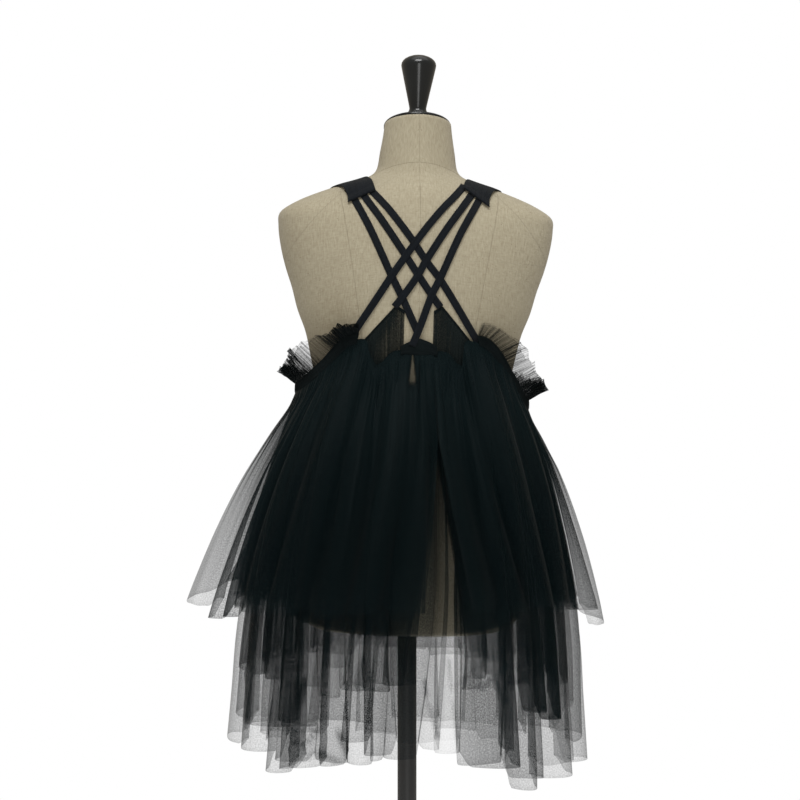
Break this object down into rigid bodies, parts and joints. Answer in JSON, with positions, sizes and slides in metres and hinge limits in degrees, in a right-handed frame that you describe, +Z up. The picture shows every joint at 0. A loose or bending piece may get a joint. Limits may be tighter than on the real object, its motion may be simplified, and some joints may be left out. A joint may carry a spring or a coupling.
{
  "type": "tulle suspender skirt on a dress form",
  "caption": "Sheer tiered tulle skirt with a ruffled elastic waist and straps crossed on an open back, on a limbless linen dress form with a round foot.",
  "frame": {"origin": "centre of the foot plate's underside, on the floor and on the pole's axis", "axes": "+Z up the pole; -Y is the side with the crossed straps, the wearer's back; +X is to the right when looking at that side"},
  "size_m": [0.544, 0.4724, 1.5308],
  "materials": {
    "tulle": "sheer even net, matt",
    "trim": "folded woven tape, matt",
    "strap": "fine woven cloth, soft sheen",
    "linen": "slubbed linen, matt",
    "black_gloss": "glossy",
    "painted_steel": "satin"
  },
  "bodies": {
    "root": {"foot_plate": "painted_steel", "pole": "painted_steel", "torso": "linen", "neck_cap": "black_gloss", "finial": "black_gloss", "shoulder_strap_left": "strap", "shoulder_strap_right": "strap", "back_panel_left": "tulle", "back_panel_right": "tulle", "panel_binding_left": "trim", "panel_binding_right": "trim", "centre_tab": "trim", "casing_left": "trim", "casing_right": "trim", "casing_front": "trim", "ruffle_left": "tulle", "ruffle_right": "tulle", "ruffle_front": "tulle", "back_strap_left_outer": "strap", "back_strap_left_middle": "strap", "back_strap_left_inner": "strap", "back_strap_right_outer": "strap", "back_strap_right_middle": "strap", "back_strap_right_inner": "strap", "upper_tier_back_right": "tulle", "upper_tier_front": "tulle", "upper_tier_back_left": "tulle", "long_tier_front": "tulle", "long_tier_back": "tulle", "middle_tier_back_right": "tulle", "middle_tier_front": "tulle", "middle_tier_back_left": "tulle"}
  },
  "joints": []
}
